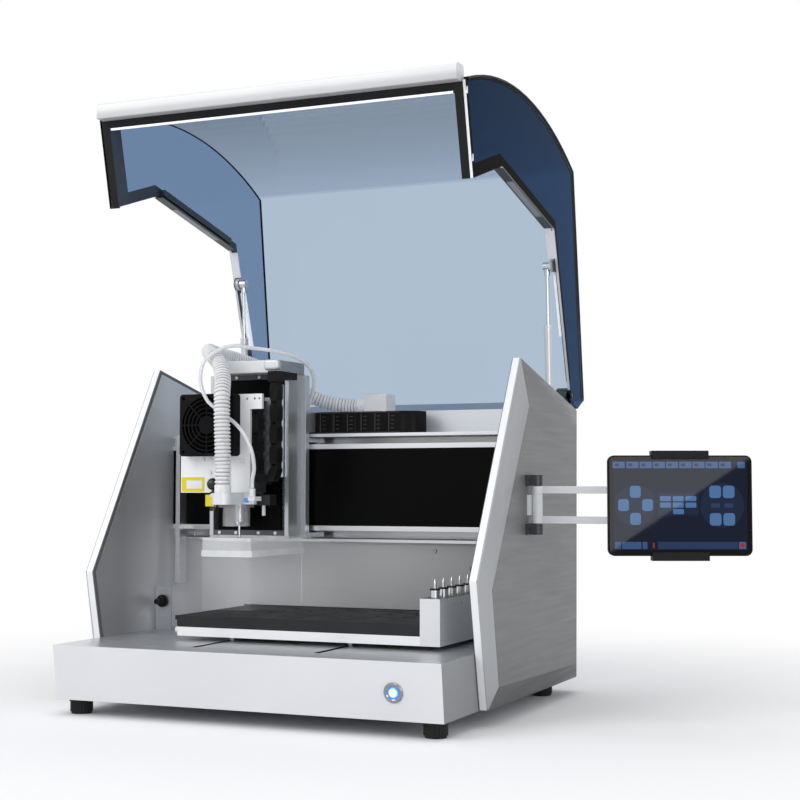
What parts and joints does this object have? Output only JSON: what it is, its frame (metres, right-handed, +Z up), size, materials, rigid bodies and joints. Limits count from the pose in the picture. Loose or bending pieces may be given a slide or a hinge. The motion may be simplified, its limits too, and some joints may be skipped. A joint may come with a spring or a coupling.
{
  "type": "desktop CNC milling machine",
  "caption": "Desktop milling machine with a tip-back clear hood on gas struts, a moving bed with a tool rack, a two-axis gantry spindle and a touch panel on a swing arm.",
  "frame": {"origin": "on the table, at the centre of the four feet", "axes": "+X to the machine's right seen from the front, +Y to its back, +Z up"},
  "size_m": [0.7422, 0.502, 0.708],
  "materials": {
    "white_paint": "satin powder coat",
    "bare_metal": "satin",
    "foot_rubber": "matt",
    "panel_aluminium": "satin",
    "liner_metal": "brushed",
    "beam_aluminium": "anodised",
    "black_cover": "gloss black",
    "rail_steel": "ground",
    "motor_black": "matt",
    "circuit_board": "satin",
    "button_ring": "polished",
    "dark_metal": "satin",
    "carriage_aluminium": "anodised",
    "clear_acrylic": "clear",
    "clear_film": "soft clear film",
    "screw_steel": "ground",
    "fan_black": "matt",
    "shoe_casting": "as cast",
    "knob_black": "gloss",
    "slab_black": "matt, fine grain",
    "tool_steel": "bright",
    "hood_acrylic": "clear",
    "hood_plate_acrylic": "blue-grey tinted",
    "handle_silver": "satin",
    "border_black": "gloss",
    "light_diffuser": "translucent white",
    "strut_grey": "satin",
    "button_light": "lit blue",
    "arm_white": "satin",
    "tablet_shell": "black shell, dark glass screen",
    "chain_black": "satin",
    "hose_clear": "milky, ribbed"
  },
  "bodies": {
    "base": {"base_housing": "white_paint", "bottom_plate": "bare_metal", "feet": "foot_rubber", "side_panel_left": "panel_aluminium", "side_panel_right": "panel_aluminium", "side_liners": "liner_metal", "inner_wall": "liner_metal", "gantry_beam": "beam_aluminium", "gantry_cover": "black_cover", "guide_rails": "rail_steel", "drive_motors": "motor_black", "electronics_cabinet": "bare_metal", "rear_panel": "bare_metal", "electronics": "circuit_board", "cable_bracket": "bare_metal", "button_bezel": "button_ring", "hood_brackets": "dark_metal", "arm_brackets": "dark_metal", "x_chain": "chain_black"},
    "x_carriage": {"x_carriage": "carriage_aluminium", "z_housing": "carriage_aluminium", "z_cap": "white_paint", "z_cover": "black_cover", "z_rails": "rail_steel", "z_motor": "motor_black", "chip_guard": "clear_acrylic", "guard_curtain": "clear_film", "z_chain": "chain_black", "dust_hose": "hose_clear", "air_tube": "clear_film"},
    "z_carriage": {"z_saddle": "carriage_aluminium", "spindle_housing": "dark_metal", "spindle_plate": "white_paint", "fan_frame": "fan_black", "dust_shoe": "shoe_casting", "shoe_window": "clear_acrylic"},
    "spindle": {"spindle_shaft": "screw_steel"},
    "fan_rotor": {"fan_rotor": "fan_black"},
    "release_lever": {"release_lever": "knob_black"},
    "bed": {"bed_saddle": "carriage_aluminium", "bed_plate": "white_paint", "bed_slab": "slab_black", "tool_rack": "white_paint", "rack_tools": "tool_steel"},
    "x_screw": {"x_ballscrew": "screw_steel"},
    "y_screw": {"y_ballscrew": "screw_steel"},
    "z_screw": {"z_ballscrew": "screw_steel"},
    "hood": {"hood_sheet": "hood_acrylic", "hood_plates": "hood_plate_acrylic", "handle_bar": "handle_silver", "hood_trim": "border_black", "light_bars": "light_diffuser"},
    "strut_cylinder_left": {"strut_cylinder_left": "strut_grey"},
    "strut_rod_left": {"strut_rod_left": "screw_steel"},
    "strut_cylinder_right": {"strut_cylinder_right": "strut_grey"},
    "strut_rod_right": {"strut_rod_right": "screw_steel"},
    "button_cap": {"button_cap": "button_light"},
    "swing_arm": {"swing_arm": "arm_white"},
    "touch_panel": {"tablet": "tablet_shell"},
    "clamp_jaw": {"clamp_jaw": "knob_black"}
  },
  "joints": [
    {"name": "x_slide", "type": "slide", "parent": "base", "child": "x_carriage", "axis": [1, 0, 0], "range_m": [-0.055, 0.245], "deforming": ["x_chain", "dust_hose"]},
    {"name": "z_slide", "type": "slide", "parent": "x_carriage", "child": "z_carriage", "axis": [0, 0, -1], "range_m": [0, 0.084], "deforming": ["z_chain", "dust_hose", "air_tube"]},
    {"name": "y_slide", "type": "slide", "parent": "base", "child": "bed", "axis": [0, 1, 0], "range_m": [-0.038, 0.1]},
    {"name": "x_screw_spin", "type": "hinge", "parent": "base", "child": "x_screw", "pos_m": [0, 0.0645, 0.25], "axis": [1, 0, 0], "range_deg": [-1981, 8821]},
    {"name": "y_screw_spin", "type": "hinge", "parent": "base", "child": "y_screw", "pos_m": [0, 0, 0.0445], "axis": [0, 1, 0], "range_deg": [-1369, 3601]},
    {"name": "z_screw_spin", "type": "hinge", "parent": "x_carriage", "child": "z_screw", "pos_m": [-0.094, 0.013, 0.29], "axis": [0, 0, 1], "range_deg": [-1, 3025]},
    {"name": "spindle_spin", "type": "hinge", "parent": "z_carriage", "child": "spindle", "pos_m": [-0.094, -0.027, 0.2], "axis": [0, 0, -1], "continuous": true},
    {"name": "fan_spin", "type": "hinge", "parent": "z_carriage", "child": "fan_rotor", "pos_m": [-0.114, -0.0625, 0.3217], "axis": [0, -1, 0], "continuous": true},
    {"name": "lever_swing", "type": "hinge", "parent": "z_carriage", "child": "release_lever", "pos_m": [-0.109, -0.0617, 0.2405], "axis": [0, 1, 0], "range_deg": [0, 25]},
    {"name": "hood_hinge", "type": "hinge", "parent": "base", "child": "hood", "pos_m": [0, 0.252, 0.366], "axis": [1, 0, 0], "range_deg": [0, 72]},
    {"name": "button_press", "type": "slide", "parent": "base", "child": "button_cap", "axis": [0, 0.9919, 0.1273], "range_m": [0, 0.002], "stiffness_N_per_m": 600, "springref_m": -0.001},
    {"name": "arm_swing", "type": "hinge", "parent": "base", "child": "swing_arm", "pos_m": [0.259, 0.015, 0.2305], "axis": [0, 0, 1], "range_deg": [-58, 58]},
    {"name": "panel_turn", "type": "hinge", "parent": "swing_arm", "child": "touch_panel", "pos_m": [0.415, 0.015, 0.2305], "axis": [0, 0, 1], "range_deg": [-25, 60]},
    {"name": "jaw_lift", "type": "slide", "parent": "touch_panel", "child": "clamp_jaw", "axis": [0, 0, 1], "range_m": [0, 0.025], "stiffness_N_per_m": 300, "springref_m": -0.01},
    {"name": "strut_swing_left", "type": "hinge", "parent": "base", "child": "strut_cylinder_left", "pos_m": [-0.214, 0.2, 0.352], "axis": [1, 0, 0], "range_deg": [-1, 90]},
    {"name": "strut_stroke_left", "type": "slide", "parent": "strut_cylinder_left", "child": "strut_rod_left", "axis": [0, -0.0351, 0.9994], "range_m": [-0.058, 0.001]},
    {"name": "strut_swing_right", "type": "hinge", "parent": "base", "child": "strut_cylinder_right", "pos_m": [0.214, 0.2, 0.352], "axis": [1, 0, 0], "range_deg": [-1, 90]},
    {"name": "strut_stroke_right", "type": "slide", "parent": "strut_cylinder_right", "child": "strut_rod_right", "axis": [0, -0.0351, 0.9994], "range_m": [-0.058, 0.001]}
  ],
  "couplings": [
    {"joint": "x_screw_spin", "follows": "x_slide", "rad_per_m": 628.32},
    {"joint": "y_screw_spin", "follows": "y_slide", "rad_per_m": 628.32},
    {"joint": "z_screw_spin", "follows": "z_slide", "rad_per_m": 628.32},
    {"joint": "strut_swing_left", "follows": "hood_hinge", "ratio": 1.1714},
    {"joint": "strut_stroke_left", "follows": "hood_hinge", "m_per_rad": -0.04427},
    {"joint": "strut_swing_right", "follows": "hood_hinge", "ratio": 1.1714},
    {"joint": "strut_stroke_right", "follows": "hood_hinge", "m_per_rad": -0.04427}
  ]
}
